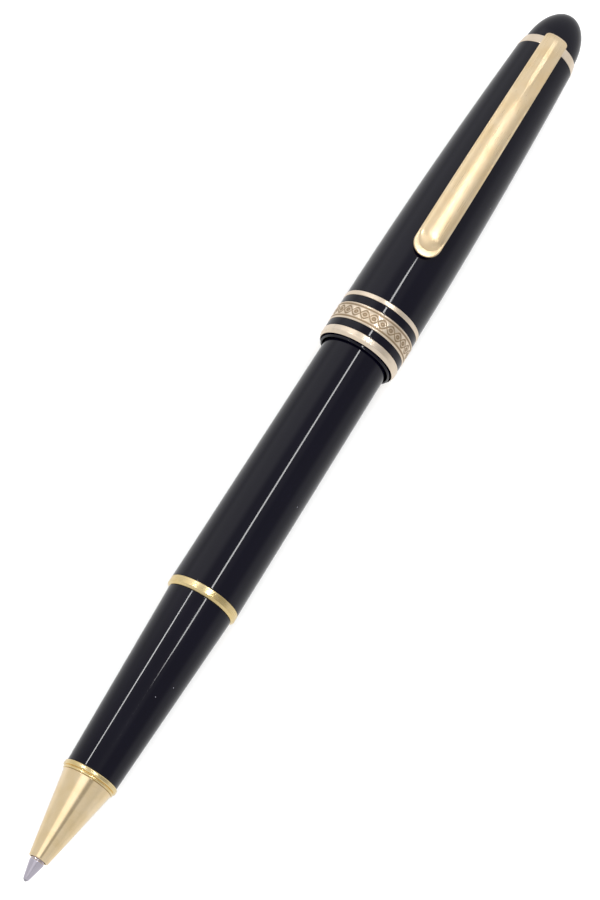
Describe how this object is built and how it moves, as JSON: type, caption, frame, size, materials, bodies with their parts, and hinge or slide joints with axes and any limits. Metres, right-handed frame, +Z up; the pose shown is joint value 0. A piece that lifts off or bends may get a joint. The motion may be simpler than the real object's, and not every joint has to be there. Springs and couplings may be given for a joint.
{
  "type": "rollerball pen",
  "caption": "Round rollerball pen with a gold nose cone and trim, its clip cap posted on the barrel, and a sprung ink refill inside.",
  "frame": {"origin": "under the middle of the pen's length, on the plane that the widest cap band rests on", "axes": "+X along the pen from the writing tip to the cap's dome, +Z up, out through the clip"},
  "size_m": [0.1548, 0.0124, 0.0141],
  "materials": {
    "black_resin": "polished black resin",
    "yellow_gold": "polished gold plate",
    "champagne_gold": "pale gold plate, lightly worn",
    "tip_steel": "turned steel",
    "tube_metal": "drawn metal tube",
    "spring_steel": "spring wire and strip",
    "brass": "machined, unplated",
    "grey_plastic": "moulded",
    "ink_fibre": "fibre soaked in dark ink"
  },
  "bodies": {
    "section": {"nose_cone": "yellow_gold", "nose_ring": "yellow_gold", "grip_section": "black_resin", "section_liner": "brass"},
    "refill": {"refill_tip": "tip_steel", "refill_nose": "grey_plastic", "ink_wick": "ink_fibre", "refill_tube": "tube_metal", "ink_reservoir": "ink_fibre", "refill_plug": "grey_plastic"},
    "ball": {"writing_ball": "tip_steel"},
    "spring": {"refill_spring": "spring_steel"},
    "seat": {"spring_seat": "grey_plastic"},
    "barrel": {"barrel_ring": "yellow_gold", "barrel_bush": "brass", "barrel_shell": "black_resin"},
    "clutch": {"clutch_ring": "spring_steel"},
    "cap": {"cap_shell": "black_resin", "lip_ring": "champagne_gold", "front_spacer": "black_resin", "centre_band": "champagne_gold", "rear_spacer": "black_resin", "thin_ring": "champagne_gold", "inner_cap": "grey_plastic", "cap_stud": "brass", "clip_ring": "champagne_gold", "cap_dome": "black_resin"},
    "clip": {"clip": "champagne_gold"}
  },
  "joints": [
    {"name": "refill_float", "type": "slide", "parent": "section", "child": "refill", "axis": [1, 0, 0], "range_m": [0, 0.001], "stiffness_N_per_m": 400, "springref_m": -0.002, "deforming": ["refill_spring"]},
    {"name": "ball_roll", "type": "hinge", "parent": "refill", "child": "ball", "pos_m": [-0.0771, 0, 0.00624], "axis": [0, 1, 0], "continuous": true},
    {"name": "barrel_pull", "type": "slide", "parent": "section", "child": "spring", "axis": [1, 0, 0], "range_m": [0, 0.07]},
    {"name": "barrel_travel", "type": "slide", "parent": "spring", "child": "seat", "axis": [1, 0, 0], "range_m": [0, 0.0045]},
    {"name": "barrel_turn", "type": "hinge", "parent": "seat", "child": "barrel", "pos_m": [0, 0, 0.00624], "axis": [1, 0, 0], "range_deg": [0, 2160]},
    {"name": "cap_pull", "type": "slide", "parent": "barrel", "child": "clutch", "axis": [1, 0, 0], "range_m": [0, 0.034]},
    {"name": "cap_turn", "type": "hinge", "parent": "clutch", "child": "cap", "pos_m": [0, 0, 0.00624], "axis": [1, 0, 0], "continuous": true},
    {"name": "clip_flex", "type": "hinge", "parent": "cap", "child": "clip", "pos_m": [0.0695, 0, 0.01114], "axis": [0, 1, 0], "range_deg": [0, 4], "stiffness_Nm_per_rad": 3.5}
  ],
  "couplings": [
    {"joint": "barrel_turn", "follows": "barrel_travel", "rad_per_m": 8377.6}
  ]
}
